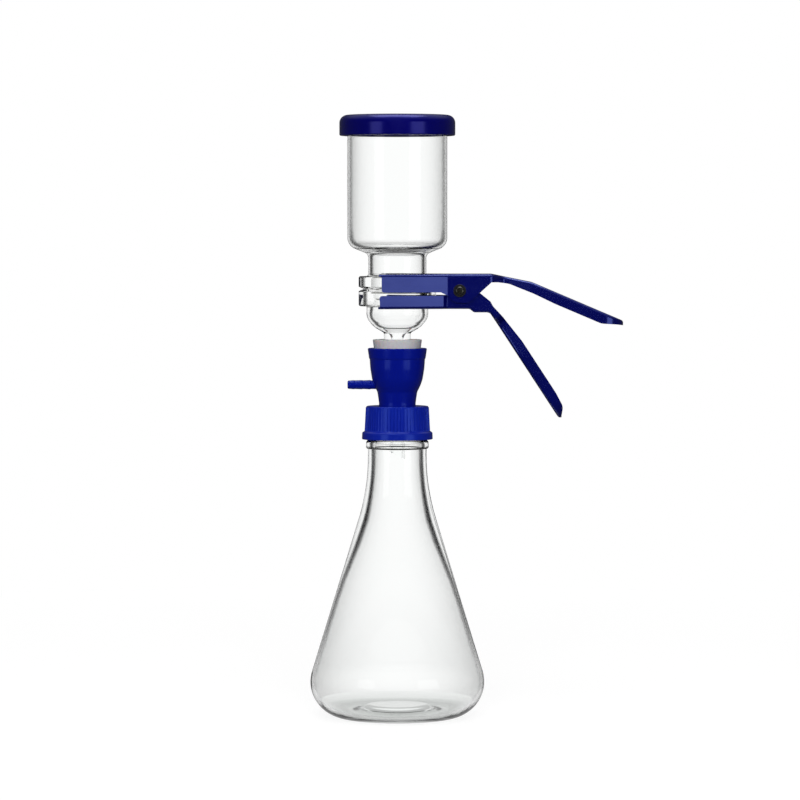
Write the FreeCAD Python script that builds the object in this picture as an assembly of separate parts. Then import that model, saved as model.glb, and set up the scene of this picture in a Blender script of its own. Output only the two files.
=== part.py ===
import FreeCAD, Part
import math
import os

# Vacuum filtration unit: glass funnel and filter support held by a spring clamp,
# stopper, vacuum adapter and screw cap on a conical flask.
# Millimetres, Z up, origin at the middle of the flask's foot, clamp handles towards +X.
# Heights hang on each other: flask rim, seal, adapter, stopper, flange joint, funnel, lid.

# ---------------------------------------------------------------- clearances
RUN = 0.05            # radial play of the pin in the moving ears
SIDE = 0.30           # play between moving faces
SEAT = 0.10           # play of loose pieces in a seat

# ---------------------------------------------------------------- flask
FLASK_RIM_Z = 227.5
FLASK_BORE_R = 17.3
THREAD_ROOT_R = 21.0
FINISH_H = 18.2         # threaded finish, below the rim
BEAD_R = 23.5
BEAD_DROP = 19.0        # top of the transfer bead, below the rim
BEAD_H = 6.0
FLASK_NECK_R = 22.0
NECK_H = 54.5           # rim to where cone and neck would meet with no rounding
CONE_REF_R = 63.55      # outer radius of the cone at CONE_REF_Z
CONE_REF_Z = 37.1
FLASK_WALL = 2.63       # level wall of the cone at CONE_REF_Z
NECK_IN_RISE = 1.7      # the inner cone meets the bore this much higher
SHOULDER_R = 160.0
HEEL_R = 27.0
HEEL_IN_R = 23.6
FOOT_IN_R = 33.5
PUSH_UP = 4.6
PUSH_UP_R = 24.0
FLOOR_T = 3.6

# ---------------------------------------------------------------- seal, cap, adapter
SEAL_T = 2.0
SEAL_OUT_R = 20.6
SEAL_IN_R = 17.3
FLANGE_T = 2.5          # adapter's clamped flange
FLANGE_R = 20.5
CAP_TOP_T = 2.5
CAP_R_TOP = 23.3
CAP_R_LOW = 24.1
CAP_RING_R = 26.6
CAP_SKIRT_H = 17.9      # cap's lower edge, below the flask's rim
CAP_RING_H = 5.0
CAP_BORE_R = 22.8
CAP_HOLE_R = 14.5
RIB_PITCH = 2.52
RIB_HALF = 0.75
RIB_H = 0.5
ADAPTER_H = 46.0        # above its flange
ADAPTER_RIM_R = 22.3
ADAPTER_BORE_R = 9.4
CHAMBER_R = 14.2
CHAMBER_H = 19.5        # chamber floor above the flange
CHAMBER_CONE_H = 6.0
BARB_H = 18.5           # barb's axis above the flange
BARB_REACH = 37.4
BARB_BORE_R = 2.0
BARB_LOW_R = 3.15
BARB_HIGH_R = 3.42
BARB_PITCH = 6.0

# ---------------------------------------------------------------- stopper and stem
STOPPER_H = 25.0
STOPPER_PROUD = 6.5     # stands above the adapter's rim
STOPPER_TOP_R = 18.5
STOPPER_BOTTOM_R = 15.0
STEM_R = 5.75
STEM_BORE_R = 4.25
STEM_REACH = 32.9       # tip below the flask's rim
STEM_BEVEL = 6.0

# ---------------------------------------------------------------- glass flanges and funnel
BOWL_H = 25.0           # stopper's top to the lower flange
FILTER_T = 0.3
FILTER_R = 23.5
GLASS_FLANGE_R = 29.0
UPPER_FLANGE_T = 9.35
LOWER_FLANGE_T = 12.75
GROOVE_IN_R = 25.4
GROOVE_H = 1.5
FRIT_R = 19.9
FRIT_T = 3.2
FRIT_LEDGE_R = 18.0
FRIT_LEDGE_H = 3.5
BOWL_R = 23.1
BOWL_WALL = 2.9
COLLAR_R = 10.0
GLASS_WALL = 2.0
FUNNEL_R = 37.4
FUNNEL_NECK_R = 21.8
FUNNEL_H = 127.1        # flange joint to the funnel's rim
FUNNEL_EDGE_H = 32.3    # flange joint to where side and bottom would meet
FUNNEL_SLOPE = math.radians(22.0)
FUNNEL_CORNER_R = 9.0
LID_TOP_T = 3.0
LID_R = 43.4
LID_SKIRT_T = 2.5
LID_SKIRT_H = 12.5      # skirt below the funnel's rim
LID_EDGE_R = 6.0
LID_RING_DEPTH = 8.0

# ---------------------------------------------------------------- clamp
SHEET = 1.8
PLAN_R = 4.0            # unit of the roundings in the arms' drawings
EDGE_R = 2.2            # outer rounding where the sheet turns into its flanges
PIN_X = 46.4
PIN_DROP = 1.1          # pin below the flange joint
PIN_R = 2.5
PIN_HEAD_R = 3.2
PIN_HEAD_H = 1.9
WASHER_R = 4.75
WASHER_T = 0.8
FORK_ANGLE = math.radians(16.0)   # the fork's side walls close towards the pivot
FORK_SLOT_UP_R = 24.3
FORK_SLOT_LOW_R = 24.9
SLIT_HIGH_DROP = 2.3    # gap between the fork blades, below the flange joint
SLIT_LOW_DROP = 4.8
UP_FRONT = 11.6         # fork blades' reach in front of the funnel's axis
UP_PLATE_FRONT = 13.6
LOW_FRONT = 12.8
LOW_PLATE_FRONT = 14.2
FORK_TAIL_X = 32.5      # slit's closed end
BODY_HALF = 21.5
EAR_R = 9.0
EAR_LINE_UP = math.radians(42.0)
EAR_LINE_LOW = math.radians(39.0)
NOTCH_X = 61.5
NOTCH_DROP = 2.8
HANDLE_HALF = 15.5
NECK_HALF = 9.5
HANDLE_LIP = 8.4        # depth of the handles' side flanges
UP_BODY_X = 71.0        # where the upper body starts to narrow
UP_KNEE_X = 70.8
UP_NECK_X = 80.75
UP_BEND_X = 101.0
UP_DROOP = math.radians(11.5)
UP_STEEP = math.radians(23.0)
UP_TIP_X = 169.3
LAP_X = 54.0            # lower plate steps down behind this
LAP_DROP = 2.6
LOW_FALL = math.radians(56.8)     # slope of the lower handle below level
LOW_CORNER_X = 69.1
LOW_HANDLE_L = 95.7     # along the sheet
SPRING_WIRE_R = 1.0
SPRING_PITCH = 1.075    # rise of each half ring along the pin
SPRING_COIL_R = 7.0
SPRING_TURNS = 3
SPRING_UP_END_X = 83.1
SPRING_LEG = 18.9
SPRING_KNEE_R = 4.0
BUSH_R = 5.2

SEAL_TOP = FLASK_RIM_Z + SEAL_T
FLANGE_TOP = SEAL_TOP + FLANGE_T
CAP_TOP_Z = FLANGE_TOP + CAP_TOP_T
CAP_BOTTOM_Z = FLASK_RIM_Z - CAP_SKIRT_H
ADAPTER_RIM_Z = FLANGE_TOP + ADAPTER_H
CHAMBER_FLOOR_Z = FLANGE_TOP + CHAMBER_H
BARB_Z = FLANGE_TOP + BARB_H
STOPPER_TOP_Z = ADAPTER_RIM_Z + STOPPER_PROUD
STOPPER_BOTTOM_Z = STOPPER_TOP_Z - STOPPER_H
STEM_TIP_Z = FLASK_RIM_Z - STEM_REACH
LOWER_FLANGE_BOTTOM = STOPPER_TOP_Z + BOWL_H
JOINT_Z = LOWER_FLANGE_BOTTOM + LOWER_FLANGE_T + FILTER_T / 2
UPPER_FLANGE_TOP = JOINT_Z + FILTER_T / 2 + UPPER_FLANGE_T
FUNNEL_RIM_Z = JOINT_Z + FUNNEL_H
FUNNEL_EDGE_Z = JOINT_Z + FUNNEL_EDGE_H
LID_TOP_Z = FUNNEL_RIM_Z + LID_TOP_T
LID_BOTTOM_Z = FUNNEL_RIM_Z - LID_SKIRT_H
UP_TOP = UPPER_FLANGE_TOP + SHEET
LOW_BOTTOM = LOWER_FLANGE_BOTTOM - SHEET
LAP_Z = LOW_BOTTOM - LAP_DROP
PIN_Z = JOINT_Z - PIN_DROP
SLIT_HIGH_Z = JOINT_Z - SLIT_HIGH_DROP
SLIT_LOW_Z = JOINT_Z - SLIT_LOW_DROP
NOTCH_Z = JOINT_Z - NOTCH_DROP
FORK_IN = GLASS_FLANGE_R + SIDE
FORK_OUT = FORK_IN + SHEET
LOW_BODY_HALF = BODY_HALF - SHEET - SIDE
WIDE = 2 * FORK_OUT     # drawings are pushed this far to both sides

V = FreeCAD.Vector
Z_AXIS = V(0, 0, 1)
Y_AXIS = V(0, 1, 0)


# ---------------------------------------------------------------- helpers
def at(plane, a, b, level=0.0):
    """A point of a flat drawing: 'xz' drawings stand up, 'xy' drawings lie flat."""
    if plane == "xz":
        return V(a, level, b)
    return V(a, b, level)


def outline(points, radii, plane, level=0.0):
    """Closed wire of straight runs; every corner with a radius gets a tangent arc."""
    n = len(points)
    starts = []
    ends = []
    mids = []
    for i in range(n):
        px, py = points[i]
        ax, ay = points[i - 1]
        bx, by = points[(i + 1) % n]
        r = radii[i]
        if r <= 0:
            starts.append((px, py))
            ends.append((px, py))
            mids.append(None)
            continue
        la = math.hypot(ax - px, ay - py)
        lb = math.hypot(bx - px, by - py)
        ux, uy = (ax - px) / la, (ay - py) / la
        wx, wy = (bx - px) / lb, (by - py) / lb
        half = math.acos(max(-1.0, min(1.0, ux * wx + uy * wy))) / 2
        run = r / math.tan(half)
        starts.append((px + ux * run, py + uy * run))
        ends.append((px + wx * run, py + wy * run))
        cx, cy = ux + wx, uy + wy
        lc = math.hypot(cx, cy)
        back = r / math.sin(half) - r
        mids.append((px + cx / lc * back, py + cy / lc * back))
    edges = []
    for i in range(n):
        s = at(plane, starts[i][0], starts[i][1], level)
        e = at(plane, ends[i][0], ends[i][1], level)
        if mids[i] is not None:
            m = at(plane, mids[i][0], mids[i][1], level)
            edges.append(Part.Arc(s, m, e).toShape())
        f = at(plane, starts[(i + 1) % n][0], starts[(i + 1) % n][1], level)
        if (f - e).Length > 1e-6:
            edges.append(Part.makeLine(e, f))
    return Part.Wire(edges)


def inset(points, radii, d):
    """The same closed drawing moved inwards by d (drawn anticlockwise), radii to match."""
    n = len(points)
    lines = []
    for i in range(n):
        ax, ay = points[i]
        bx, by = points[(i + 1) % n]
        length = math.hypot(bx - ax, by - ay)
        ux, uy = (bx - ax) / length, (by - ay) / length
        lines.append((ax - uy * d, ay + ux * d, ux, uy))
    moved = []
    corners = []
    for i in range(n):
        ax, ay, aux, auy = lines[i - 1]
        bx, by, bux, buy = lines[i]
        cross = aux * buy - auy * bux
        s = ((bx - ax) * buy - (by - ay) * bux) / cross
        moved.append((ax + aux * s, ay + auy * s))
        r = radii[i]
        if r > 0 and cross > 0:
            r = max(r - d, 0.3)
        elif r > 0:
            r = r + d
        corners.append(r)
    return moved, corners


def slab(points, radii, plane, low, high):
    """Prism on a rounded drawing, from low to high across the drawing's plane."""
    face = Part.Face(outline(points, radii, plane, low))
    way = V(0, high - low, 0) if plane == "xz" else V(0, 0, high - low)
    return face.extrude(way)


def turned(points, radii=None):
    """Solid of revolution about Z from a closed (radius, height) drawing."""
    corner = radii if radii else [0] * len(points)
    face = Part.Face(outline(points, corner, "xz"))
    return face.revolve(V(0, 0, 0), Z_AXIS, 360)


def turned_at(points, radii, x, y_axis_z):
    """Solid of revolution about a line along Y through (x, z); drawing is (radius, y)."""
    face = Part.Face(outline(points, radii, "xy"))
    solid = face.revolve(V(0, 0, 0), Y_AXIS, 360)
    solid.translate(V(x, 0, y_axis_z))
    return solid


def cylinder_y(r, low, high, x, z):
    return Part.makeCylinder(r, high - low, V(x, low, z), Y_AXIS)


def save(shape, node):
    solid = shape.Solids[0] if len(shape.Solids) == 1 else shape
    solid.exportStep("parts/" + node + ".step")


# ---------------------------------------------------------------- flask
def flask():
    shoulder_z = FLASK_RIM_Z - NECK_H
    shoulder_in_z = shoulder_z + NECK_IN_RISE
    fall = (CONE_REF_R - FLASK_NECK_R) / (shoulder_z - CONE_REF_Z)
    ref_in = CONE_REF_R - FLASK_WALL
    fall_in = (ref_in - FLASK_BORE_R) / (shoulder_in_z - CONE_REF_Z)
    heel = CONE_REF_R + fall * CONE_REF_Z
    heel_in = ref_in + fall_in * (CONE_REF_Z - FLOOR_T)
    bead_top = FLASK_RIM_Z - BEAD_DROP
    finish = FLASK_RIM_Z - FINISH_H
    pts = [
        (0, PUSH_UP), (PUSH_UP_R, PUSH_UP), (FOOT_IN_R, 0), (heel, 0),
        (FLASK_NECK_R, shoulder_z), (FLASK_NECK_R, bead_top - BEAD_H),
        (BEAD_R, bead_top - BEAD_H), (BEAD_R, bead_top), (THREAD_ROOT_R, finish),
        (THREAD_ROOT_R, FLASK_RIM_Z), (FLASK_BORE_R, FLASK_RIM_Z),
        (FLASK_BORE_R, shoulder_in_z), (heel_in, FLOOR_T),
        (FOOT_IN_R - FLOOR_T, FLOOR_T), (PUSH_UP_R - FLOOR_T / 2, PUSH_UP + FLOOR_T),
        (0, PUSH_UP + FLOOR_T),
    ]
    rad = [0, PUSH_UP_R / 2, 0.7 * FLOOR_T, HEEL_R, SHOULDER_R, 0, 0.23 * BEAD_H, 0.4 * BEAD_H,
           0.08 * BEAD_H, 0.2 * BEAD_H, 0.15 * BEAD_H, SHOULDER_R, HEEL_IN_R,
           1.1 * FLOOR_T, 2.2 * FLOOR_T, 0]
    return turned(pts, rad)


# ---------------------------------------------------------------- seal ring
def seal_ring():
    return turned([(SEAL_IN_R, FLASK_RIM_Z), (SEAL_OUT_R, FLASK_RIM_Z),
                   (SEAL_OUT_R, SEAL_TOP), (SEAL_IN_R, SEAL_TOP)])


# ---------------------------------------------------------------- screw cap
def screw_cap():
    ring_top = CAP_BOTTOM_Z + CAP_RING_H
    skirt = ring_top + 0.32 * CAP_RING_H
    pts = [
        (CAP_HOLE_R, FLANGE_TOP), (CAP_BORE_R, FLANGE_TOP), (CAP_BORE_R, CAP_BOTTOM_Z),
        (CAP_RING_R, CAP_BOTTOM_Z), (CAP_RING_R - 0.04 * CAP_RING_H, ring_top),
        (CAP_R_LOW, skirt), (CAP_R_TOP, CAP_TOP_Z), (CAP_HOLE_R, CAP_TOP_Z),
    ]
    t = CAP_TOP_T
    body = turned(pts, [0, 0.32 * t, 0.16 * t, 0.24 * t, 0.48 * t, 0.4 * t, 0.32 * t, 0.16 * t])
    lean = (CAP_R_LOW - CAP_R_TOP) / (CAP_TOP_Z - skirt)
    low = ring_top + 0.24 * t
    high = CAP_TOP_Z - 0.36 * t
    foot = CAP_R_LOW + (skirt - low) * lean
    top = CAP_R_TOP + (CAP_TOP_Z - high) * lean
    tri_low = [(foot - RIB_H, -RIB_HALF), (foot + RIB_H, 0), (foot - RIB_H, RIB_HALF)]
    tri_high = [(top - RIB_H, -RIB_HALF), (top + 0.7 * RIB_H, 0), (top - RIB_H, RIB_HALF)]
    rib = Part.makeLoft([outline(tri_low, [0, 0, 0], "xy", low),
                         outline(tri_high, [0, 0, 0], "xy", high)], True, True)
    count = round(2 * math.pi * CAP_R_LOW / RIB_PITCH)
    ribs = []
    for i in range(count):
        copy = rib.copy()
        copy.rotate(V(0, 0, 0), Z_AXIS, 360.0 / count * i)
        ribs.append(copy)
    return body.fuse(ribs).removeSplitter()


# ---------------------------------------------------------------- vacuum adapter
def stopper_r(z):
    share = (z - STOPPER_BOTTOM_Z) / (STOPPER_TOP_Z - STOPPER_BOTTOM_Z)
    return STOPPER_BOTTOM_R + share * (STOPPER_TOP_R - STOPPER_BOTTOM_R)


def barb_blank():
    """Tapered tube connector along X with three soft ridges, drawn from the cup outwards."""
    root = BARB_LOW_R * 1.11
    pts = [(0, 0), (root, 0)]
    rad = [0, 0]
    for k in range(3):
        ridge = BARB_REACH - (2.7 - k) * BARB_PITCH
        rise = (BARB_HIGH_R - BARB_LOW_R) * (1.0 + 0.19 * (2 - k))
        pts.append((BARB_LOW_R * 1.04, ridge - 0.233 * BARB_PITCH))
        pts.append((BARB_LOW_R + rise, ridge - 0.1 * BARB_PITCH))
        rad += [0, 0.13 * BARB_LOW_R]
    pts += [(BARB_LOW_R, BARB_REACH - BARB_LOW_R / 2), (BARB_LOW_R, BARB_REACH), (0, BARB_REACH)]
    rad += [0, 0.35 * BARB_LOW_R, 0]
    face = Part.Face(outline(pts, rad, "xz"))
    solid = face.revolve(V(0, 0, 0), Z_AXIS, 360)
    solid.rotate(V(0, 0, 0), Y_AXIS, -90)
    solid.translate(V(0, 0, BARB_Z))
    return solid


def vacuum_adapter():
    r = ADAPTER_RIM_R
    # waist, cup and rolled rim: share of the rim's radius, share of the height, rounding
    form = [(0.614, 0, 0.036), (0.619, 0.109, 0.54), (0.6435, 0.196, 0.27), (0.673, 0.287, 0.224),
            (0.771, 0.383, 0.27), (0.8475, 0.4826, 0.9), (0.908, 0.663, 1.345),
            (0.9305, 0.8196, 0.0135), (0.953, 0.839, 0.018)]
    pts = [(0, SEAL_TOP), (FLANGE_R, SEAL_TOP), (FLANGE_R, FLANGE_TOP)]
    rad = [0, 0.2 * FLANGE_T, 0.2 * FLANGE_T]
    for a, b, c in form:
        pts.append((a * r, FLANGE_TOP + b * ADAPTER_H))
        rad.append(c * r)
    pts += [(r, ADAPTER_RIM_Z), (0, ADAPTER_RIM_Z)]
    rad += [0.04 * r, 0]
    shell = turned(pts, rad)
    body = shell.fuse(barb_blank()).removeSplitter()
    # the stopper's seat runs past its lower end, so that it wedges on the cone alone
    spare = CHAMBER_R - ADAPTER_BORE_R
    seat_low = STOPPER_BOTTOM_Z - 0.21 * spare
    over = ADAPTER_RIM_Z + FLANGE_T
    bore = turned([
        (0, SEAL_TOP - SEAL_T), (ADAPTER_BORE_R, SEAL_TOP - SEAL_T),
        (ADAPTER_BORE_R, CHAMBER_FLOOR_Z - CHAMBER_CONE_H), (CHAMBER_R, CHAMBER_FLOOR_Z),
        (CHAMBER_R, seat_low - 0.125 * spare), (stopper_r(seat_low), seat_low),
        (stopper_r(over), over), (0, over),
    ], [0, 0, CHAMBER_CONE_H / 3, CHAMBER_CONE_H / 4, 0, 0, 0, 0])
    start = -BARB_REACH - BARB_LOW_R
    hole = Part.makeCylinder(BARB_BORE_R, -start, V(start, 0, BARB_Z), V(1, 0, 0))
    return body.cut([bore, hole])


# ---------------------------------------------------------------- stopper
def stopper():
    return turned([
        (STEM_R, STOPPER_BOTTOM_Z), (STOPPER_BOTTOM_R, STOPPER_BOTTOM_Z),
        (STOPPER_TOP_R, STOPPER_TOP_Z), (STEM_R, STOPPER_TOP_Z),
    ], [0, 0.02 * STOPPER_H, 0.024 * STOPPER_H, 0])


# ---------------------------------------------------------------- glass support base
def support_base():
    top = JOINT_Z - FILTER_T / 2
    r = BOWL_R
    bore_r = BOWL_R - BOWL_WALL

    def up(share):
        return STOPPER_TOP_Z + share * BOWL_H

    pts = [
        (STEM_BORE_R, STEM_TIP_Z), (STEM_R, STEM_TIP_Z), (STEM_R, STOPPER_TOP_Z),
        (COLLAR_R, STOPPER_TOP_Z), (COLLAR_R, up(0.196)), (0.762 * r, up(0.376)), (r, up(0.64)),
        (r, LOWER_FLANGE_BOTTOM), (GLASS_FLANGE_R, LOWER_FLANGE_BOTTOM),
        (GLASS_FLANGE_R, top - GROOVE_H), (GROOVE_IN_R, top), (FRIT_R + SEAT, top),
        (FRIT_R + SEAT, top - FRIT_T), (FRIT_LEDGE_R, top - FRIT_T),
        (FRIT_LEDGE_R, top - FRIT_T - FRIT_LEDGE_H), (bore_r, up(0.98)),
        (bore_r, up(0.712)), (0.658 * r, up(0.436)), (0.329 * r, up(0.268)),
        (STEM_BORE_R, up(0.08)),
    ]
    g = GROOVE_H
    rad = [0, 0.087 * STEM_R, 0.4 * g, 0.6 * g, 1.07 * g, 0.606 * r, 0.433 * r, g / 3, 0.93 * g,
           0.6 * g, 0, 0, 0, 0, 0.67 * g, 2 * g, 0.346 * r, 0.476 * r, 0.173 * r, 0.26 * r]
    body = turned(pts, rad)
    wide = 1.2 * STEM_R
    bevel = [(-wide, STEM_TIP_Z - STEM_BORE_R), (wide, STEM_TIP_Z - STEM_BORE_R),
             (wide, STEM_TIP_Z), (-wide, STEM_TIP_Z + STEM_BEVEL)]
    wedge = slab(bevel, [0, 0, 0, 0], "xz", -wide, wide)
    return body.cut(wedge)


def frit_disc():
    top = JOINT_Z - FILTER_T / 2
    return turned([(0, top - FRIT_T), (FRIT_R, top - FRIT_T), (FRIT_R, top), (0, top)])


def membrane_filter():
    low = JOINT_Z - FILTER_T / 2
    return turned([(0, low), (FILTER_R, low), (FILTER_R, low + FILTER_T), (0, low + FILTER_T)])


# ---------------------------------------------------------------- funnel
def funnel():
    low = JOINT_Z + FILTER_T / 2
    neck_in = FUNNEL_NECK_R - GLASS_WALL
    side_in = FUNNEL_R - GLASS_WALL
    slope = math.tan(FUNNEL_SLOPE)
    meet = FUNNEL_EDGE_Z - (FUNNEL_R - FUNNEL_NECK_R) * slope
    rise = GLASS_WALL / math.cos(FUNNEL_SLOPE)
    in_edge = FUNNEL_EDGE_Z - GLASS_WALL * slope + rise
    in_meet = meet - GLASS_WALL * slope + rise
    pts = [
        (neck_in, low), (GROOVE_IN_R, low), (GLASS_FLANGE_R, low + GROOVE_H),
        (GLASS_FLANGE_R, UPPER_FLANGE_TOP), (FUNNEL_NECK_R, UPPER_FLANGE_TOP),
        (FUNNEL_NECK_R, meet), (FUNNEL_R, FUNNEL_EDGE_Z), (FUNNEL_R, FUNNEL_RIM_Z),
        (side_in, FUNNEL_RIM_Z), (side_in, in_edge), (neck_in, in_meet),
    ]
    t = GLASS_WALL
    rad = [0, 0, 0.45 * t, 0.7 * t, t, 2 * t, FUNNEL_CORNER_R, 0.45 * t, 0.45 * t,
           FUNNEL_CORNER_R - t, 3 * t]
    return turned(pts, rad)


# ---------------------------------------------------------------- lid
def lid():
    t = LID_SKIRT_T
    skirt_in = LID_R - t
    ring_out = FUNNEL_R - GLASS_WALL - SIDE
    ring_in = ring_out - 0.8 * t
    under = FUNNEL_RIM_Z
    pts = [
        (0, under), (ring_in, under), (ring_in, under - LID_RING_DEPTH),
        (ring_out, under - LID_RING_DEPTH), (ring_out, under), (skirt_in, under),
        (skirt_in, LID_BOTTOM_Z), (LID_R, LID_BOTTOM_Z), (LID_R, LID_TOP_Z), (0, LID_TOP_Z),
    ]
    return turned(pts, [0, 0.4 * t, 0.24 * t, 0.36 * t, 0.16 * t, LID_EDGE_R - t, 0.32 * t,
                        0.44 * t, LID_EDGE_R, 0])


# ---------------------------------------------------------------- clamp arms
def fork_y(x, distance):
    """Half width of the fork's side wall at x; distance is from the funnel's axis."""
    return (distance - x * math.sin(FORK_ANGLE)) / math.cos(FORK_ANGLE)


def fork_x(y, distance):
    return (distance - y * math.cos(FORK_ANGLE)) / math.sin(FORK_ANGLE)


def mirrored(points, radii):
    """Close a plan drawing: right hand half given from the far end to the open front."""
    back = [(x, -y) for x, y in reversed(points)]
    return back + points, list(reversed(radii)) + radii


def off_path(x, z, path):
    """Shortest distance from (x, z) to the sheet's outer face, seen from the side."""
    best = FUNNEL_RIM_Z
    for (ax, az), (bx, bz) in zip(path, path[1:]):
        dx, dz = bx - ax, bz - az
        t = max(0.0, min(1.0, ((x - ax) * dx + (z - az) * dz) / (dx * dx + dz * dz)))
        best = min(best, math.hypot(x - ax - t * dx, z - az - t * dz))
    return best


def soften(solid, path, up):
    """Round the long edges where the sheet turns into its side flanges."""
    chosen = []
    for edge in solid.Edges:
        sheet = 0
        flange = 0
        for face in solid.ancestorsOfType(edge, Part.Face):
            u0, u1, v0, v1 = face.ParameterRange
            n = face.normalAt((u0 + u1) / 2, (v0 + v1) / 2)
            p = face.valueAt((u0 + u1) / 2, (v0 + v1) / 2)
            if abs(n.y) < 0.01 and n.z * up > 0.3 and off_path(p.x, p.z, path) < 0.7 * SHEET:
                sheet += 1
            elif abs(n.y) > 0.05:
                flange += 1
        if sheet == 1 and flange == 1:
            chosen.append(edge)
    return solid.makeFillet(EDGE_R, chosen)


def upright(plan, plan_rad):
    ends, ends_rad = mirrored(plan, plan_rad)
    return slab(ends, ends_rad, "xy", FLASK_RIM_Z / 2, FUNNEL_RIM_Z)


def upright_inside(plan, plan_rad):
    ends, ends_rad = mirrored(plan, plan_rad)
    ends, ends_rad = inset(ends, ends_rad, SHEET)
    return slab(ends, ends_rad, "xy", FLASK_RIM_Z / 2, FUNNEL_RIM_Z)


def shell_arm(side_pts, side_rad, path, path_rad, reach, reach_in, below):
    """Bent sheet: side drawing crossed with the plan's solid, hollowed by the sheet's thickness.
    'path' is the sheet's outer face seen from the side, 'below' the side it is hollow to."""
    outer = slab(side_pts, side_rad, "xz", -WIDE, WIDE).common(reach)
    outer = soften(outer, path, 1 if below else -1)
    if below:
        level = FLASK_RIM_Z / 2
        core = [(path[-1][0], level), path[-1]] + path[-2::-1] + [(path[0][0], level)]
        core_rad = [0, 0] + path_rad[-2:0:-1] + [0, 0]
    else:
        level = FUNNEL_RIM_Z
        core = [(path[0][0], level)] + path + [(path[-1][0], level)]
        core_rad = [0, 0] + path_rad[1:-1] + [0, 0]
    core, core_rad = inset(core, core_rad, SHEET)
    return outer, slab(core, core_rad, "xz", -WIDE, WIDE).common(reach_in)


def upper_plan():
    knee = fork_x(BODY_HALF, FORK_OUT)
    half_neck = 0.184 * NECK_HALF
    pts = [(UP_TIP_X, HANDLE_HALF), (UP_BEND_X + 0.2 * HANDLE_HALF, HANDLE_HALF),
           (UP_NECK_X + half_neck, NECK_HALF), (UP_NECK_X - half_neck, NECK_HALF),
           (UP_BODY_X, BODY_HALF), (knee, BODY_HALF), (-FORK_OUT, fork_y(-FORK_OUT, FORK_OUT))]
    rad = [0.98 * HANDLE_HALF, 10 * PLAN_R, 2 * PLAN_R, 0.75 * PLAN_R, 1.25 * PLAN_R, PLAN_R, 0]
    return pts, rad


def clamp_upper_arm():
    lip = HANDLE_LIP
    fall = math.tan(UP_STEEP)
    knee1 = (UP_KNEE_X, UP_TOP)
    knee2 = (UP_BEND_X, UP_TOP - (UP_BEND_X - UP_KNEE_X) * math.tan(UP_DROOP))
    tip_z = knee2[1] - (UP_TIP_X - UP_BEND_X) * fall
    far_x = UP_TIP_X + 0.3 * HANDLE_HALF
    far = (far_x, knee2[1] - (far_x - UP_BEND_X) * fall)

    def under(x, depth):
        z = knee2[1] - (x - UP_BEND_X) * fall
        return (x - depth * math.sin(UP_STEEP), z - depth * math.cos(UP_STEEP))

    foot_z = PIN_Z - EAR_R
    reach_x = NOTCH_X - (NOTCH_Z - foot_z) / math.tan(EAR_LINE_UP)
    side = [
        (-UP_PLATE_FRONT, UP_TOP), (-UP_PLATE_FRONT, UP_TOP - SHEET),
        (-UP_FRONT, UP_TOP - SHEET), (-UP_FRONT, SLIT_HIGH_Z), (FORK_TAIL_X, SLIT_HIGH_Z),
        (PIN_X - 0.91 * EAR_R, PIN_Z - 0.456 * EAR_R), (PIN_X, foot_z + EAR_R / 6),
        (PIN_X, foot_z), (reach_x, foot_z),
        (UP_KNEE_X, UP_TOP - 0.667 * lip), (UP_NECK_X + 0.29 * NECK_HALF, UP_TOP - 0.88 * lip),
        under(UP_BEND_X + 0.5 * lip, 0.905 * lip), under(UP_BEND_X + 2.4 * lip, lip),
        under(UP_TIP_X - 0.89 * HANDLE_HALF, lip),
        (UP_TIP_X - 0.355 * HANDLE_HALF, tip_z - 0.31 * lip), (far[0], far[1] - 0.24 * lip),
        far, knee2, knee1,
    ]
    r = PLAN_R
    rad = [0, 0, 0.1 * r, r / 2, r / 2, 0, 0, 0, EAR_R, 0.4 * r, 3 * r, 2.5 * r, 5 * r, 2.5 * r,
           2 * r, 0, 0, 3.5 * r, 2.5 * r]
    path = [(-FORK_OUT, UP_TOP), knee1, knee2, far]
    reach = upright(*upper_plan())
    outer, core = shell_arm(side, rad, path, [0, 2.5 * r, 3.5 * r, 0], reach,
                            upright_inside(*upper_plan()), True)
    ear = cylinder_y(EAR_R, -WIDE, WIDE, PIN_X, PIN_Z).common(reach)
    arm = outer.fuse(ear).removeSplitter().cut(core)
    hole = cylinder_y(PIN_R + RUN, -WIDE, WIDE, PIN_X, PIN_Z)
    return arm.cut([fork_slot(FORK_SLOT_UP_R, UP_TOP), hole])


def fork_slot(r, level):
    """Open slot for the glass neck through the fork's plate at a level."""
    half = 5 * SHEET
    slot = Part.makeCylinder(r, 2 * half, V(0, 0, level - half))
    return slot.fuse(Part.makeBox(WIDE, 2 * r, 2 * half, V(-WIDE, -r, level - half)))


def lower_body_plan(end):
    knee_x = FORK_TAIL_X + SHEET + SIDE      # the wall jogs in to pass inside the upper ears
    pts = [(end, LOW_BODY_HALF), (knee_x + 0.6 * PLAN_R, LOW_BODY_HALF),
           (knee_x, fork_y(knee_x, FORK_OUT)), (-FORK_OUT, fork_y(-FORK_OUT, FORK_OUT))]
    return pts, [0, PLAN_R / 4, PLAN_R / 2, 0]


def lower_handle_plan(start):
    """The handle's outline in the plane of its sheet, measured from the bend."""
    pts = [(LOW_HANDLE_L, HANDLE_HALF), (2.3 * HANDLE_HALF, HANDLE_HALF),
           (HANDLE_HALF, NECK_HALF), (0.75 * HANDLE_HALF, NECK_HALF),
           (0.385 * HANDLE_HALF, LOW_BODY_HALF), (start, LOW_BODY_HALF)]
    rad = [0.98 * HANDLE_HALF, 10 * PLAN_R, 2 * PLAN_R, 0.75 * PLAN_R, PLAN_R, 0]
    return mirrored(pts, rad)


def along_handle(points, radii):
    """Prism square to the lower handle's sheet."""
    solid = slab(points, radii, "xy", -BODY_HALF, BODY_HALF)
    solid.rotate(V(0, 0, 0), Y_AXIS, math.degrees(LOW_FALL))
    solid.translate(V(LOW_CORNER_X, 0, LAP_Z))
    return solid


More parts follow.
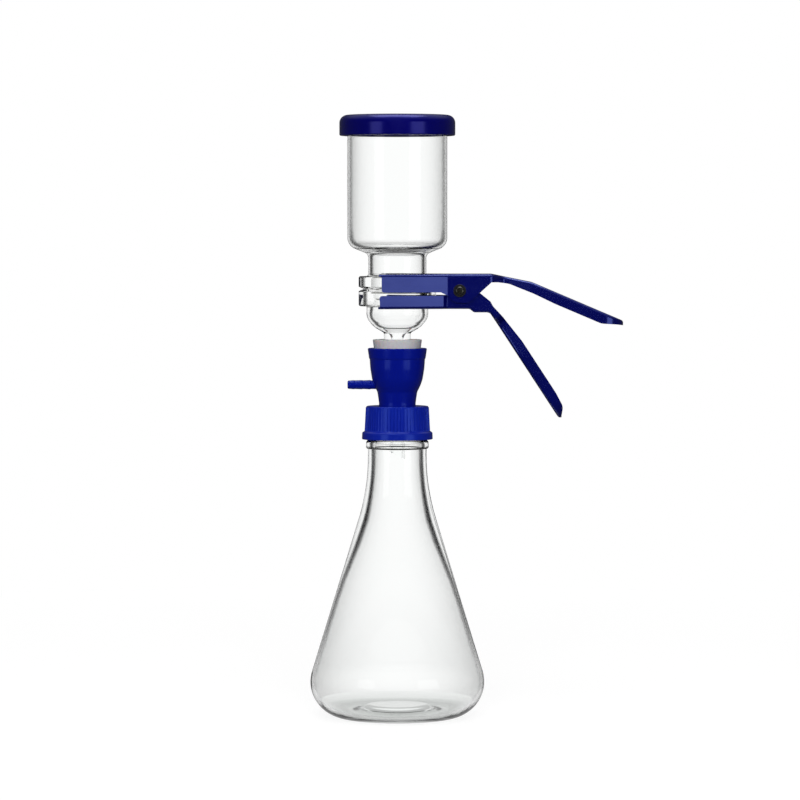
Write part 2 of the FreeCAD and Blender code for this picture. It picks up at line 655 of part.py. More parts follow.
def clamp_lower_arm():
    lip = HANDLE_LIP
    ca, sa = math.cos(LOW_FALL), math.sin(LOW_FALL)
    corner = (LOW_CORNER_X, LAP_Z)

    def sheet(s, depth=0.0):
        """s along the handle from the bend, depth square to it on the hollow side."""
        return (corner[0] + s * ca + depth * sa, corner[1] - s * sa + depth * ca)

    line = EAR_LINE_LOW
    lobe = (NOTCH_X - PIN_X) * math.sin(line) + (NOTCH_Z - PIN_Z) * math.cos(line)
    shoulder = (PIN_X + lobe * math.sin(line), PIN_Z + lobe * math.cos(line))
    root_x = PIN_X - math.sqrt(lobe ** 2 - (PIN_Z - SLIT_LOW_Z) ** 2)
    long = LOW_HANDLE_L
    far = long + 0.5 * lip
    step_end = LAP_X + 1.15 * LAP_DROP
    side = [
        (-LOW_PLATE_FRONT, LOW_BOTTOM), (LAP_X, LOW_BOTTOM), (step_end, LAP_Z), corner,
        sheet(far), sheet(far, 0.24 * lip), sheet(long - 0.1 * lip, 0.27 * lip),
        sheet(long - 0.8 * lip, 0.87 * lip), sheet(long - 2.2 * lip, lip),
        sheet(3.7 * lip, lip), sheet(1.07 * lip, 0.76 * lip),
        sheet(-0.3 * lip, 0.53 * lip), sheet(-0.8 * lip, 0.565 * lip), shoulder, (PIN_X, PIN_Z),
        (root_x + SHEET / 9, SLIT_LOW_Z), (-LOW_FRONT - SHEET / 4, SLIT_LOW_Z),
        (-LOW_FRONT, LOW_BOTTOM + SHEET), (-LOW_PLATE_FRONT, LOW_BOTTOM + SHEET),
    ]
    r = PLAN_R
    rad = [0, 0.75 * r, 0.75 * r, 1.25 * r, 0, 0, 0.5 * r, 2 * r, 5 * r, 5 * r, 1.5 * r,
           0.75 * r, 0.75 * r, 0, 0, 0, r / 2, 0.1 * r, 0]
    path = [(-FORK_OUT, LOW_BOTTOM), (LAP_X, LOW_BOTTOM), (step_end, LAP_Z), corner, sheet(far)]
    body_end = LOW_CORNER_X + SHEET / 2
    reach = upright(*lower_body_plan(body_end)).fuse(along_handle(*lower_handle_plan(-lip)))
    inner = inset(*lower_handle_plan(-lip - SHEET), SHEET)
    reach_in = upright_inside(*lower_body_plan(body_end + SHEET)).fuse(along_handle(*inner))
    outer, core = shell_arm(side, rad, path, [0, 0.75 * r, 0.75 * r, 1.25 * r, 0],
                            reach.removeSplitter(), reach_in.removeSplitter(), False)
    ear = cylinder_y(lobe, -WIDE, WIDE, PIN_X, PIN_Z).common(upright(*lower_body_plan(body_end)))
    arm = outer.fuse(ear).removeSplitter().cut(core)
    hole = cylinder_y(PIN_R, -WIDE, WIDE, PIN_X, PIN_Z)
    return arm.cut([fork_slot(FORK_SLOT_LOW_R, LOW_BOTTOM), hole])


# ---------------------------------------------------------------- pivot hardware
def washer_in():
    return BODY_HALF + SEAT


def clamp_pivot_pin():
    head_in = washer_in() + WASHER_T
    head_out = head_in + PIN_HEAD_H
    pts = [(0, -head_out), (PIN_HEAD_R, -head_out), (PIN_HEAD_R, -head_in), (PIN_R, -head_in),
           (PIN_R, head_in), (PIN_HEAD_R, head_in), (PIN_HEAD_R, head_out), (0, head_out)]
    crown = 0.68 * PIN_HEAD_H
    return turned_at(pts, [0, crown, 0, 0, 0, 0, crown, 0], PIN_X, PIN_Z)


def pivot_washer(side):
    low = washer_in()
    pts = [(PIN_R, low), (WASHER_R, low), (WASHER_R, low + WASHER_T), (PIN_R, low + WASHER_T)]
    ring = turned_at(pts, [0, 0, 0.37 * WASHER_T, 0], PIN_X, PIN_Z)
    if side < 0:
        ring.rotate(V(PIN_X, 0, PIN_Z), V(0, 0, 1), 180)
    return ring


def spring_bush():
    half = LOW_BODY_HALF - SHEET
    pts = [(PIN_R, -half), (BUSH_R, -half), (BUSH_R, half), (PIN_R, half)]
    return turned_at(pts, [0, 0, 0, 0], PIN_X, PIN_Z)


def clamp_spring():
    """Torsion spring: coils of tilted half rings around the bush, one leg under each handle."""
    r = SPRING_COIL_R
    step = SPRING_PITCH
    big = math.hypot(r, step / 2)
    y0 = -step * (SPRING_TURNS + 0.5)
    fall = LOW_FALL
    lift = SHEET + SPRING_WIRE_R
    run = V(math.cos(fall), 0, -math.sin(fall))
    foot = V(LOW_CORNER_X + lift * math.sin(fall), 0, LAP_Z + lift * math.cos(fall))
    start = V(SPRING_UP_END_X, y0, PIN_Z + r)
    edges = [Part.makeLine(start, V(PIN_X, y0, PIN_Z + r))]
    y = y0
    for i in range(2 * SPRING_TURNS):
        side = -1 if i % 2 == 0 else 1
        p = V(PIN_X, y, PIN_Z - side * r)
        m = V(PIN_X + side * big, y + step / 2, PIN_Z)
        q = V(PIN_X, y + step, PIN_Z + side * r)
        edges.append(Part.Arc(p, m, q).toShape())
        y += step
    centre = V(PIN_X, y + step / 2, PIN_Z)
    arm = V(0, -step / 2, r)

    def on_ring(a):
        return centre + V(-big * math.sin(a), 0, 0) + arm * math.cos(a)

    last = math.radians(168.0)
    out = (V(-big * math.cos(last), 0, 0) - arm * math.sin(last)).normalize()
    leave = on_ring(last)
    edges.append(Part.Arc(on_ring(0), on_ring(last / 2), leave).toShape())
    # the leg meets the line that lies on the handle's inner face
    gap = foot - leave
    s = (gap.x * run.z - gap.z * run.x) / (out.x * run.z - out.z * run.x)
    knee = leave + out * s
    bend = math.acos(out.dot(run)) / 2
    r_knee = SPRING_KNEE_R
    a = knee - out * (r_knee * math.tan(bend))
    c = knee + run * (r_knee * math.tan(bend))
    m = knee + (run - out).normalize() * (r_knee / math.cos(bend) - r_knee)
    edges.append(Part.makeLine(leave, a))
    edges.append(Part.Arc(a, m, c).toShape())
    edges.append(Part.makeLine(c, knee + run * SPRING_LEG))
    ring = Part.Wire([Part.makeCircle(SPRING_WIRE_R, start, V(-1, 0, 0))])
    return Part.Wire(edges).makePipe(Part.Face(ring))


PARTS = {
    "flask": flask,
    "seal_ring": seal_ring,
    "screw_cap": screw_cap,
    "vacuum_adapter": vacuum_adapter,
    "stopper": stopper,
    "support_base": support_base,
    "frit_disc": frit_disc,
    "membrane_filter": membrane_filter,
    "funnel": funnel,
    "lid": lid,
    "clamp_upper_arm": clamp_upper_arm,
    "clamp_lower_arm": clamp_lower_arm,
    "clamp_pivot_pin": clamp_pivot_pin,
    "spring_bush": spring_bush,
    "clamp_spring": clamp_spring,
}

os.makedirs("parts", exist_ok=True)
for node, make in PARTS.items():
    save(make(), node)
save(pivot_washer(-1), "pivot_washer_front")
save(pivot_washer(1), "pivot_washer_rear")
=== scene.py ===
import math
import bpy
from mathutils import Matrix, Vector


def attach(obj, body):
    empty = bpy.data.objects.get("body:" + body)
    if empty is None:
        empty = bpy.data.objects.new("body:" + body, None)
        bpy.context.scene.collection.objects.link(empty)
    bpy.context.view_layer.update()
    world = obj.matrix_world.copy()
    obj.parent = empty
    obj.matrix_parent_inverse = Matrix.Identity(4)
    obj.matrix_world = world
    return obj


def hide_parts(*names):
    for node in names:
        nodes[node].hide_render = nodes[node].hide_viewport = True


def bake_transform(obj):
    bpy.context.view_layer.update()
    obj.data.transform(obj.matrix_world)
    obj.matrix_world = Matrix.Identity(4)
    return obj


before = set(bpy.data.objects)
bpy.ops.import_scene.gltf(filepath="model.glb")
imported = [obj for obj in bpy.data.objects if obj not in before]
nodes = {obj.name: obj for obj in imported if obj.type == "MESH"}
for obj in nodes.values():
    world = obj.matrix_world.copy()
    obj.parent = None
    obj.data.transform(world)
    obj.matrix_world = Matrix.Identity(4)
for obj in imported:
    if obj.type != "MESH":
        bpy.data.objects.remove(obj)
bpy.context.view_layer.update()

scene = bpy.context.scene
scene.view_settings.view_transform = "Standard"


# ---------------------------------------------------------------- colours
def srgb(r, g, b):
    """0-255 display values to the linear values that a shader takes."""
    out = []
    for v in (r, g, b):
        v = v / 255.0
        out.append(v / 12.92 if v <= 0.04045 else ((v + 0.055) / 1.055) ** 2.4)
    return (out[0], out[1], out[2], 1.0)


def grey(v):
    return (v, v, v, 1.0)


# ---------------------------------------------------------------- node helpers
NOISE_LOW, NOISE_HIGH = 0.3, 0.7      # the part of a noise that a ramp spreads out


def calc(tree, op, a, b, clamp=False):
    """One Math node; a and b are numbers or sockets."""
    n = tree.nodes.new("ShaderNodeMath")
    n.operation = op
    n.use_clamp = clamp
    for i, v in enumerate((a, b)):
        if isinstance(v, (int, float)):
            n.inputs[i].default_value = v
        else:
            tree.links.new(v, n.inputs[i])
    return n.outputs[0]


def remap(tree, source, from_min, from_max, to_min, to_max, smooth=False):
    n = tree.nodes.new("ShaderNodeMapRange")
    if smooth:
        n.interpolation_type = "SMOOTHSTEP"
    n.inputs["From Min"].default_value = from_min
    n.inputs["From Max"].default_value = from_max
    n.inputs["To Min"].default_value = to_min
    n.inputs["To Max"].default_value = to_max
    tree.links.new(source, n.inputs["Value"])
    return n.outputs[0]


def ramp(tree, source, stops):
    """Colour by (position, colour) stops."""
    n = tree.nodes.new("ShaderNodeValToRGB")
    e = n.color_ramp.elements
    while len(e) < len(stops):
        e.new(0.5)
    for i, (position, color) in enumerate(stops):
        e[i].position = position
        e[i].color = color
    tree.links.new(source, n.inputs["Fac"])
    return n.outputs["Color"]


def noise(tree, scale, detail, stretch=None):
    """Noise in the piece's own coordinates; stretch is a scale for each axis."""
    coord = tree.nodes.new("ShaderNodeTexCoord")
    n = tree.nodes.new("ShaderNodeTexNoise")
    n.inputs["Scale"].default_value = scale
    n.inputs["Detail"].default_value = detail
    place = coord.outputs["Object"]
    if stretch:
        m = tree.nodes.new("ShaderNodeMapping")
        m.inputs["Scale"].default_value = stretch
        tree.links.new(place, m.inputs["Vector"])
        place = m.outputs["Vector"]
    tree.links.new(place, n.inputs["Vector"])
    return n.outputs["Fac"]


def vary(tree, source, low, high, target):
    """Moves a socket between two colours, or greys, with a noise."""
    tree.links.new(ramp(tree, source, [(NOISE_LOW, low), (NOISE_HIGH, high)]), target)


def bump(tree, source, target, distance, strength):
    b = tree.nodes.new("ShaderNodeBump")
    b.inputs["Distance"].default_value = distance
    b.inputs["Strength"].default_value = strength
    tree.links.new(source, b.inputs["Height"])
    tree.links.new(b.outputs["Normal"], target)


def upward(tree, space):
    """The Z of a texture coordinate."""
    coord = tree.nodes.new("ShaderNodeTexCoord")
    sep = tree.nodes.new("ShaderNodeSeparateXYZ")
    tree.links.new(coord.outputs[space], sep.inputs[0])
    return sep.outputs[2]


def new_material(name):
    mat = bpy.data.materials.new(name)
    mat.use_nodes = True
    tree = mat.node_tree
    tree.nodes.clear()
    return mat, tree, tree.nodes.new("ShaderNodeOutputMaterial")


def principled(name, color, rough, metallic=0.0, spec=0.5, tint=None):
    """A new material with one Principled shader on its output."""
    mat, tree, out = new_material(name)
    b = tree.nodes.new("ShaderNodeBsdfPrincipled")
    b.inputs["Base Color"].default_value = color
    b.inputs["Roughness"].default_value = rough
    b.inputs["Metallic"].default_value = metallic
    b.inputs["Specular IOR Level"].default_value = spec
    if tint:
        b.inputs["Specular Tint"].default_value = (*tint, 1.0)
    tree.links.new(b.outputs["BSDF"], out.inputs["Surface"])
    return mat, tree, b.inputs


# ---------------------------------------------------------------- plastic and metal
def plastic(name, color, color2, rough, spec=0.5, tint=None, grain=900.0, depth=0.00002):
    """Moulded plastic: slow colour drift, fine moulding grain in roughness and relief."""
    mat, tree, sockets = principled(name, color, rough, spec=spec, tint=tint)
    vary(tree, noise(tree, scale=28.0, detail=2.0), color, color2, sockets["Base Color"])
    fine = noise(tree, grain, detail=4.0)
    vary(tree, fine, grey(rough * 0.85), grey(rough * 1.2), sockets["Roughness"])
    bump(tree, fine, sockets["Normal"], depth, strength=0.6)
    return mat


def anodised(name, color, color2):
    """Blue coated sheet metal: faint rolling grain along the arms."""
    mat, tree, sockets = principled(name, color, rough=0.17, spec=1.0, tint=(0.27, 0.36, 1.0))
    vary(tree, noise(tree, scale=18.0, detail=2.0), color, color2, sockets["Base Color"])
    grain = noise(tree, scale=160.0, detail=4.0, stretch=(0.12, 1.0, 1.0))
    vary(tree, grain, grey(0.14), grey(0.20), sockets["Roughness"])
    bump(tree, grain, sockets["Normal"], distance=0.00002, strength=0.3)
    return mat


def steel(name, color, rough):
    """Bare metal with a drawn grain in its roughness."""
    mat, tree, sockets = principled(name, color, rough, metallic=1.0)
    grain = noise(tree, scale=700.0, detail=4.0, stretch=(1.0, 0.15, 1.0))
    vary(tree, grain, grey(rough * 0.8), grey(rough * 1.3), sockets["Roughness"])
    return mat


def silicone(name, dark, light):
    """Pale translucent rubber with a fine bloom."""
    mat, tree, sockets = principled(name, dark, rough=0.50, spec=0.3)
    sockets["Subsurface Weight"].default_value = 0.25
    sockets["Subsurface Scale"].default_value = 0.004
    fine = noise(tree, scale=500.0, detail=4.0)
    vary(tree, fine, dark, light, sockets["Base Color"])
    bump(tree, fine, sockets["Normal"], distance=0.00003, strength=0.5)
    return mat


NAVY = plastic("lid_navy", srgb(3, 2, 88), srgb(4, 3, 94),
               rough=0.19, tint=(0.24, 0.25, 1.0))
BLUE = plastic("adapter_blue", srgb(5, 18, 132), srgb(6, 21, 139),
               rough=0.20, spec=0.30, tint=(0.25, 0.42, 1.0))
CAP_BLUE = plastic("cap_blue", srgb(12, 31, 148), srgb(14, 34, 156),
                   rough=0.21, spec=0.36, tint=(0.25, 0.45, 1.0))
CLAMP = anodised("clamp_blue", srgb(1, 2, 80), srgb(2, 5, 88))
STEEL = steel("pin_steel", srgb(84, 85, 80), rough=0.30)
WIRE = steel("spring_wire", srgb(60, 60, 62), rough=0.35)
# Black washers under the pin heads; their black also paints the dark ring of shade round each
# head.
BLACK = plastic("washer_black", srgb(12, 12, 14), srgb(18, 18, 20), rough=0.5)
SEAL = plastic("seal_white", srgb(225, 225, 220), srgb(232, 232, 228), rough=0.45)
FRIT = plastic("frit", srgb(214, 214, 210), srgb(224, 224, 220),
               rough=0.9, spec=0.3, grain=2600.0, depth=0.0001)
MEMBRANE = plastic("membrane", srgb(236, 236, 232), srgb(242, 242, 239),
                   rough=0.85, spec=0.2, grain=4000.0)
STOPPER = silicone("stopper_silicone", srgb(202, 199, 200), srgb(210, 207, 208))

LOOK = {
    "screw_cap": CAP_BLUE, "vacuum_adapter": BLUE, "seal_ring": SEAL, "stopper": STOPPER,
    "frit_disc": FRIT, "membrane_filter": MEMBRANE, "lid": NAVY, "clamp_upper_arm": CLAMP,
    "clamp_lower_arm": CLAMP, "clamp_pivot_pin": STEEL, "pivot_washer_front": BLACK,
    "pivot_washer_rear": BLACK, "spring_bush": BLACK, "clamp_spring": WIRE,
}
for node_name, mat in LOOK.items():
    materials = nodes[node_name].data.materials
    materials.clear()
    materials.append(mat)

# ---------------------------------------------------------------- glass
TABLE_HEIGHT = 0.5       # m, the height that a table of heights can reach
CLEAR_MIN = 0.03         # the darkest that the glass gets, before squaring
BLUE_LOSS = 0.6          # blue taken out, as a share of the red
GLASS_GLOSS = 0.4        # how much of the room the glass mirrors


def by_height(tree, z, pairs):
    """A value that follows (height in m, value) pairs."""
    top = max(v for _, v in pairs)
    share = remap(tree, z, 0.0, TABLE_HEIGHT, 0.0, 1.0)
    line = ramp(tree, share, [(h / TABLE_HEIGHT, grey(v / top)) for h, v in pairs])
    return calc(tree, "MULTIPLY", line, top)


def glass(name, power=None, inner=None, centre=None, depth=None, width=0.15, green=0.006,
          ior=1.47):
    """Borosilicate glass with painted shade: darker where it is seen edge on, in place of the
    dark refraction at its edges; the tables are (height, value).

    inner, power: painted shade that grows towards the edge, and how late it sets in.
    centre, depth, width: one painted dark line: the slant it lies at, its darkness and half its
    width.
    green: the share of red that is taken out, for the tint of thick glass."""
    mat, tree, sockets = principled(name, grey(1.0), rough=0.0)
    sockets["Transmission Weight"].default_value = 1.0
    sockets["IOR"].default_value = ior
    sockets["Specular Tint"].default_value = grey(GLASS_GLOSS)
    z = upward(tree, "Object")
    weight = tree.nodes.new("ShaderNodeLayerWeight")
    weight.inputs["Blend"].default_value = 0.5
    slant = weight.outputs["Facing"]
    clear = None
    if inner:
        curve = calc(tree, "POWER", slant, by_height(tree, z, power))
        edge = calc(tree, "MULTIPLY", curve, by_height(tree, z, inner))
        clear = calc(tree, "SUBTRACT", 1.0, edge)
    if centre:
        away = calc(tree, "SUBTRACT", slant, by_height(tree, z, centre))
        away = calc(tree, "DIVIDE", away, width)
        hump = calc(tree, "SUBTRACT", 1.0, calc(tree, "MULTIPLY", away, away), True)
        hump = calc(tree, "MULTIPLY", hump, by_height(tree, z, depth))
        line = calc(tree, "SUBTRACT", 1.0, hump)
        clear = line if clear is None else calc(tree, "MULTIPLY", clear, line)
    clear = calc(tree, "MAXIMUM", clear, CLEAR_MIN)
    clear = calc(tree, "MULTIPLY", clear, clear)     # the shader takes its root at each face
    # the glass's own green tint, times the painted shade
    tint_and_painted_shade = tree.nodes.new("ShaderNodeCombineColor")
    tree.links.new(calc(tree, "MULTIPLY", clear, 1.0 - green), tint_and_painted_shade.inputs[0])
    tree.links.new(clear, tint_and_painted_shade.inputs[1])
    tree.links.new(calc(tree, "MULTIPLY", clear, 1.0 - green * BLUE_LOSS), tint_and_painted_shade.inputs[2])
    tree.links.new(tint_and_painted_shade.outputs[0], sockets["Base Color"])
    streak = noise(tree, scale=14.0, detail=2.0, stretch=(1.0, 1.0, 0.35))
    bump(tree, streak, sockets["Normal"], distance=0.00012, strength=0.22)
    return mat


# Painted shade on the flask: its tables darken the edges, the foot and a line at each height, in
# place of the dark refraction of real glass.
FLASK_OUT = glass(
    "glass_flask_outside", width=0.13, power=[(0.0, 0.05)],
    inner=[(0.0, 0.13), (0.006, 0.11), (0.011, 0.0)],
    centre=[(0.014, 0.76), (0.044, 0.76), (0.074, 0.74), (0.089, 0.72), (0.104, 0.68),
            (0.119, 0.59), (0.134, 0.50), (0.15, 0.44)],
    depth=[(0.010, 0.10), (0.016, 0.22), (0.04, 0.30), (0.059, 0.55), (0.074, 0.72),
           (0.104, 0.80), (0.134, 0.90), (0.15, 0.93)])
FLASK_IN = glass(
    "glass_flask_inside", power=[(0.03, 1.1), (0.06, 1.2), (0.10, 1.5), (0.19, 2.0)],
    inner=[(0.03, 0.46), (0.06, 0.42), (0.10, 0.40), (0.12, 0.52), (0.15, 0.85), (0.19, 1.05)])
# Painted shade: the flask's floor and foot darker.
FLASK_FLOOR = glass(
    "glass_flask_floor", power=[(0.0, 0.05)],
    inner=[(0.0, 0.27), (0.0040, 0.27), (0.0046, 0.10)], green=0.025)
# Painted shade: one dark arc on the push-up's underside.
FLASK_PUSH_UP = glass(
    "glass_flask_push_up", width=0.12, centre=[(0.0, 0.35)], depth=[(0.0, 0.5)],
    green=0.02, ior=1.04)
# Painted shade: a dark line along the bead's underside, in place of light lost inside the glass.
BEAD_SHADE = glass("glass_bead_shade", power=[(0.2, 0.09)], inner=[(0.2, 1.03)])
# Painted shade on the funnel and the support base: darker edges, dark lines and a darker outlet,
# in place of the dark refraction of real glass.
FUNNEL_OUT = glass(
    "glass_funnel_outside", width=0.15, centre=[(0.35, 0.57), (0.37, 0.68)],
    depth=[(0.35, 0.90), (0.37, 0.42)])
FUNNEL_IN = glass("glass_funnel_inside", power=[(0.35, 2.0)], inner=[(0.35, 0.90)])
BASE_OUT = glass(
    "glass_base_outside", width=0.11, centre=[(0.285, 0.56), (0.297, 0.55), (0.308, 0.46)],
    depth=[(0.28, 0.90)])
BASE_IN = glass("glass_base_inside", power=[(0.28, 1.6)], inner=[(0.28, 0.25)])
BASE_OUTLET = glass("glass_base_outlet", power=[(0.28, 2.0)], inner=[(0.28, 0.30)], ior=1.10)

# Slots of a glass piece, in the order of its materials, which differ in painted shade; LOWER is
# the flask's floor or the base's outlet.
OUTSIDE, INSIDE, LOWER, BEAD, PUSH_UP = range(5)
AXIS_FACING = -0.05      # a face that looks at the axis by more than this is inside

# Where the slots lie: heights and a radius in m, and the Z of a face's normal.
PUSH_UP_LOW, PUSH_UP_HIGH, PUSH_UP_RADIUS, PUSH_UP_NORMAL = 0.0035, 0.0055, 0.025, -0.9
BOTTOM_TOP, BOTTOM_NORMAL = 0.03, 0.6
FOOT_TOP, FOOT_NORMAL = 0.006, -0.4
BEAD_LOW, BEAD_HIGH, BEAD_NORMAL = 0.2, 0.212, -0.12
OUTLET_TOP = 0.2935


def flask_slot(c, n, slot):
    """The push-up's underside, the flask's floor with its foot, and the bead's underside."""
    if (PUSH_UP_LOW < c.z < PUSH_UP_HIGH and n.z < PUSH_UP_NORMAL
            and math.hypot(c.x, c.y) < PUSH_UP_RADIUS):
        return PUSH_UP
    if c.z < BOTTOM_TOP and (n.z > BOTTOM_NORMAL or (c.z < FOOT_TOP and n.z < FOOT_NORMAL)):
        return LOWER
    if BEAD_LOW < c.z < BEAD_HIGH and n.z < BEAD_NORMAL and slot == OUTSIDE:
        return BEAD
    return slot


def base_slot(c, n, slot):
    """The collar and the stem, below the bowl."""
    return LOWER if c.z < OUTLET_TOP else slot


def two_sided(node_name, shade_materials, refine=None):
    """Blown glass: one material with painted shade outside, another on the faces that look at
    the axis.
    """
    mesh = nodes[node_name].data
    mesh.materials.clear()
    for shade_material in shade_materials:
        mesh.materials.append(shade_material)
    for poly in mesh.polygons:
        c, n = poly.center, poly.normal
        facing = (c.x * n.x + c.y * n.y) / max(math.hypot(c.x, c.y), 1e-6)
        slot = INSIDE if facing < AXIS_FACING else OUTSIDE
        poly.material_index = refine(c, n, slot) if refine else slot


two_sided("flask", (FLASK_OUT, FLASK_IN, FLASK_FLOOR, BEAD_SHADE, FLASK_PUSH_UP), flask_slot)
two_sided("funnel", (FUNNEL_OUT, FUNNEL_IN))
two_sided("support_base", (BASE_OUT, BASE_IN, BASE_OUTLET), base_slot)

# ---------------------------------------------------------------- screw threads
PITCH = 0.004            # m, as the cap's joint has it
THREAD_LOW = 0.2135      # m, height of the ridge's lower end
TURNS = 2.3
TURN_STEPS = 72          # sections in one turn
FADE_STEPS = 10.0        # sections in which an end runs out
RIDGE_FOOT, RIDGE_CREST = 0.00110, 0.00035     # m, half widths of the ridge
SUNK = 0.25              # share of the ridge's height that is sunk in the wall


def thread(name, root, crest, phase, mat, body):
    """Right hand thread ridge on a cylinder about Z; root and crest are radii."""
    steps = int(TURN_STEPS * TURNS)
    sunk = root - (crest - root) * SUNK
    verts = []
    faces = []
    for i in range(steps + 1):
        a = phase + 2 * math.pi * i / TURN_STEPS
        z = THREAD_LOW + PITCH * i / TURN_STEPS
        fade = min(1.0, i / FADE_STEPS, (steps - i) / FADE_STEPS)
        out = root + (crest - root) * fade
        for r, dz in ((sunk, -RIDGE_FOOT), (out, -RIDGE_CREST),
                      (out, RIDGE_CREST), (sunk, RIDGE_FOOT)):
            verts.append((r * math.cos(a), r * math.sin(a), z + dz))
    for i in range(steps):
        for k in range(4):
            p, q = i * 4 + k, i * 4 + (k + 1) % 4
            faces.append((p, q, q + 4, p + 4))
    faces.append((3, 2, 1, 0))
    faces.append(tuple(steps * 4 + k for k in range(4)))
    mesh = bpy.data.meshes.new(name)
    mesh.from_pydata(verts, [], faces)
    mesh.materials.append(mat)
    mesh.polygons.foreach_set("use_smooth", [True] * len(mesh.polygons))
    obj = bpy.data.objects.new(name, mesh)
    scene.collection.objects.link(obj)
    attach(obj, body)


thread("flask_thread", root=0.0210, crest=0.0222, phase=0.0, mat=FLASK_OUT, body="flask")
thread("cap_thread", root=0.0228, crest=0.0216, phase=math.pi, mat=CAP_BLUE, body="cap")

# ---------------------------------------------------------------- spring
# The spring is drawn from a copy of its mesh, set in place; the original piece is hidden.
coil = bpy.data.objects.new("spring_coil", nodes["clamp_spring"].data.copy())
scene.collection.objects.link(coil)
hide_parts("clamp_spring")
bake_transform(coil)

# ---------------------------------------------------------------- floor
# Strengths and colours, where 1 is white.
FLOOR_RADIUS = 1.1       # m
FLOOR_SIDES = 96
FLOOR_GLOW = 0.88        # to the camera: even light of the floor itself
FLOOR_SHADED = 0.20      # to the camera: the colour that takes the shadow
FLOOR_THROUGH = 1.0      # through glass
FLOOR_MATT = 0.35        # the colour that throws light back on the object
# Painted pool of light: to shiny faces the floor is brighter close to the flask than farther
# out.
POOL_GLOSS = 0.5         # mirrored by shiny faces, close to the flask
FAR_GLOSS = 0.08         # mirrored by shiny faces, farther out
POOL_START, POOL_END = 0.12, 0.20     # m from the axis, where the one fades into the other


def floor_material():
    """Pale floor: nearly white with its shadow to the camera, even white through glass."""
    mat, tree, out = new_material("floor_pale")
    path = tree.nodes.new("ShaderNodeLightPath")

    def emission(strength):
        e = tree.nodes.new("ShaderNodeEmission")
        e.inputs["Strength"].default_value = strength
        return e

    def diffuse(value):
        d = tree.nodes.new("ShaderNodeBsdfDiffuse")
        d.inputs["Color"].default_value = grey(value)
        return d

    def pick(ray, other, chosen):
        m = tree.nodes.new("ShaderNodeMixShader")
        tree.links.new(path.outputs[ray], m.inputs["Fac"])
        tree.links.new(other.outputs[0], m.inputs[1])
        tree.links.new(chosen.outputs[0], m.inputs[2])
        return m

    lit = tree.nodes.new("ShaderNodeAddShader")
    tree.links.new(diffuse(FLOOR_SHADED).outputs[0], lit.inputs[0])
    tree.links.new(emission(FLOOR_GLOW).outputs[0], lit.inputs[1])
    coord = tree.nodes.new("ShaderNodeTexCoord")
    away = tree.nodes.new("ShaderNodeVectorMath")
    away.operation = "LENGTH"
    tree.links.new(coord.outputs["Object"], away.inputs[0])
    # painted pool of light round the flask, seen only in reflections
    gloss = remap(tree, away.outputs["Value"], POOL_START, POOL_END, POOL_GLOSS, FAR_GLOSS, True)
    pool = emission(POOL_GLOSS)
    tree.links.new(gloss, pool.inputs["Strength"])
    last = pick("Is Glossy Ray", diffuse(FLOOR_MATT), pool)
    last = pick("Is Transmission Ray", last, emission(FLOOR_THROUGH))
    last = pick("Is Camera Ray", last, lit)
    tree.links.new(last.outputs[0], out.inputs["Surface"])
    return mat


def round_floor():
    mesh = bpy.data.meshes.new("floor")
    turns = [2 * math.pi * i / FLOOR_SIDES for i in range(FLOOR_SIDES)]
    rim = [(FLOOR_RADIUS * math.cos(a), FLOOR_RADIUS * math.sin(a), 0.0) for a in turns]
    mesh.from_pydata(rim, [], [tuple(range(FLOOR_SIDES))])
    mesh.materials.append(floor_material())
    obj = bpy.data.objects.new("floor", mesh)
    scene.collection.objects.link(obj)


round_floor()

# ---------------------------------------------------------------- room
# Strengths, where 1 is white; the slopes are the Z of a direction.
AMBIENT = 0.12           # even light of the room on matt faces
WALL_GLOSS = 0.07        # mirrored by shiny faces, from the room's sides
CEILING_GLOSS = 0.8      # mirrored by shiny faces, from overhead
WALL_TOP, CEILING_LOW = 0.35, 0.85


def room():
    """White sweep behind everything; reflections see a bright ceiling and dim walls."""
    world = bpy.data.worlds.new("studio")
    world.use_nodes = True
    scene.world = world
    tree = world.node_tree
    tree.nodes.clear()
    out = tree.nodes.new("ShaderNodeOutputWorld")
    ray = tree.nodes.new("ShaderNodeLightPath").outputs
    slope = upward(tree, "Generated")
    white = calc(tree, "MAXIMUM", ray["Is Camera Ray"], ray["Is Transmission Ray"])
    mirror = calc(tree, "SUBTRACT", ray["Is Glossy Ray"], white, True)
    rest = calc(tree, "SUBTRACT", calc(tree, "SUBTRACT", 1.0, white), mirror, True)
    gloss = remap(tree, slope, WALL_TOP, CEILING_LOW, WALL_GLOSS, CEILING_GLOSS, True)
    total = calc(tree, "ADD", white, calc(tree, "MULTIPLY", mirror, gloss))
    total = calc(tree, "ADD", total, calc(tree, "MULTIPLY", rest, AMBIENT))
    bg = tree.nodes.new("ShaderNodeBackground")
    bg.inputs["Color"].default_value = grey(1.0)
    tree.links.new(total, bg.inputs["Strength"])
    tree.links.new(bg.outputs[0], out.inputs["Surface"])


room()


# ---------------------------------------------------------------- lamps and camera
def look_at(obj, point):
    obj.rotation_mode = "QUATERNION"
    obj.rotation_quaternion = (Vector(point) - obj.location).to_track_quat("-Z", "Y")


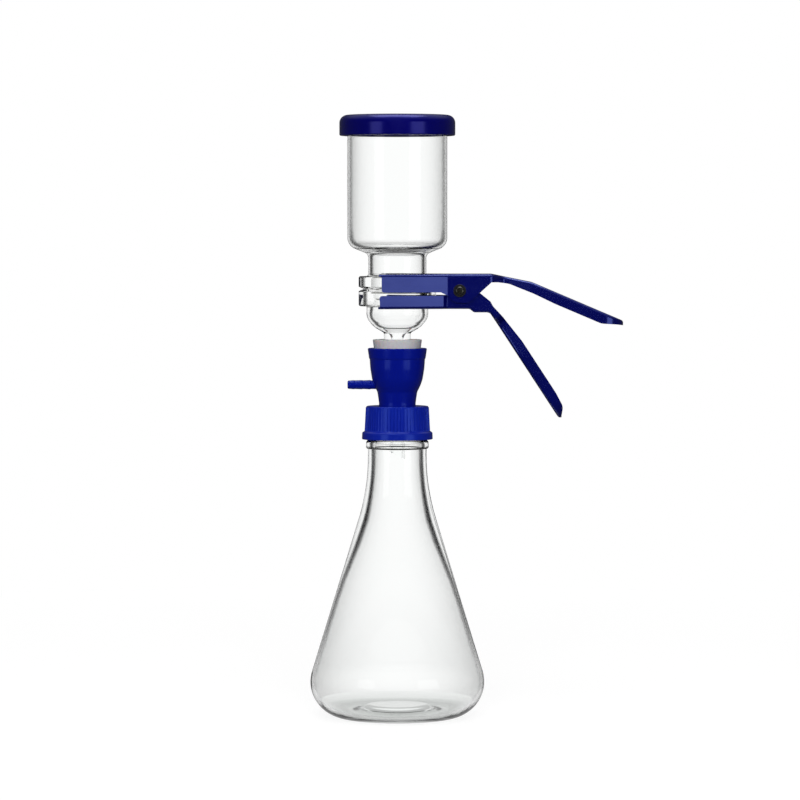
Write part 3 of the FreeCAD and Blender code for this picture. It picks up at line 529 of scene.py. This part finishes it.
def softbox(name, angle, distance, height, width, tall, radiance, aim_z, mirrored):
    """Area lamp of an even radiance, which shows in shiny faces or lights matt ones.

    angle is in degrees round from the front (-Y), positive to the right."""
    a = math.radians(angle)
    lamp = bpy.data.lights.new(name, "AREA")
    lamp.shape = "RECTANGLE"
    lamp.size = width
    lamp.size_y = tall
    lamp.energy = radiance * math.pi * width * tall
    obj = bpy.data.objects.new(name, lamp)
    obj.location = (distance * math.sin(a), -distance * math.cos(a), height)
    look_at(obj, (0, 0, aim_z))
    scene.collection.objects.link(obj)
    obj.visible_camera = False
    obj.visible_transmission = False
    obj.visible_glossy = mirrored
    obj.visible_diffuse = not mirrored


# name, angle, distance, height, width, tall, radiance, height aimed at, mirrored
LAMPS = (
    ("soft_left", -42, 1.6, 0.22, 0.66, 0.8, 2.3, 0.3, True),
    ("soft_right", 41, 1.6, 0.22, 0.80, 0.8, 2.5, 0.3, True),
    ("top_gleam", 0, 0.05, 1.9, 1.5, 1.0, 5.2, 0.3, True),
    ("fill_top", 0, 0.95, 1.95, 1.2, 0.9, 3.0, 0.3, False),
    ("fill_front", 0, 2.6, 1.1, 1.4, 1.4, 8.0, 0.25, False),
    ("fill_left", -85, 2.0, 0.7, 1.0, 1.0, 0.8, 0.25, False),
    ("fill_right", 85, 2.0, 0.7, 1.0, 1.0, 0.8, 0.25, False),
    ("fill_back", 180, 2.6, 1.1, 1.4, 1.4, 4.0, 0.25, False),
)
for row in LAMPS:
    softbox(*row)

SENSOR_WIDTH, LENS = 36.0, 180.0      # mm
CAMERA_X, CAMERA_BACK, CAMERA_HEIGHT = 0.0020, 3.0, 0.366     # m
AIM_HEIGHT = 0.239       # m
CLIP_END = 100.0         # m

cam_data = bpy.data.cameras.new("camera")
cam_data.sensor_width = SENSOR_WIDTH
cam_data.lens = LENS
cam_data.clip_end = CLIP_END
cam = bpy.data.objects.new("camera", cam_data)
scene.collection.objects.link(cam)
cam.location = (CAMERA_X, -CAMERA_BACK, CAMERA_HEIGHT)
look_at(cam, (CAMERA_X, 0.0, AIM_HEIGHT))
scene.camera = cam
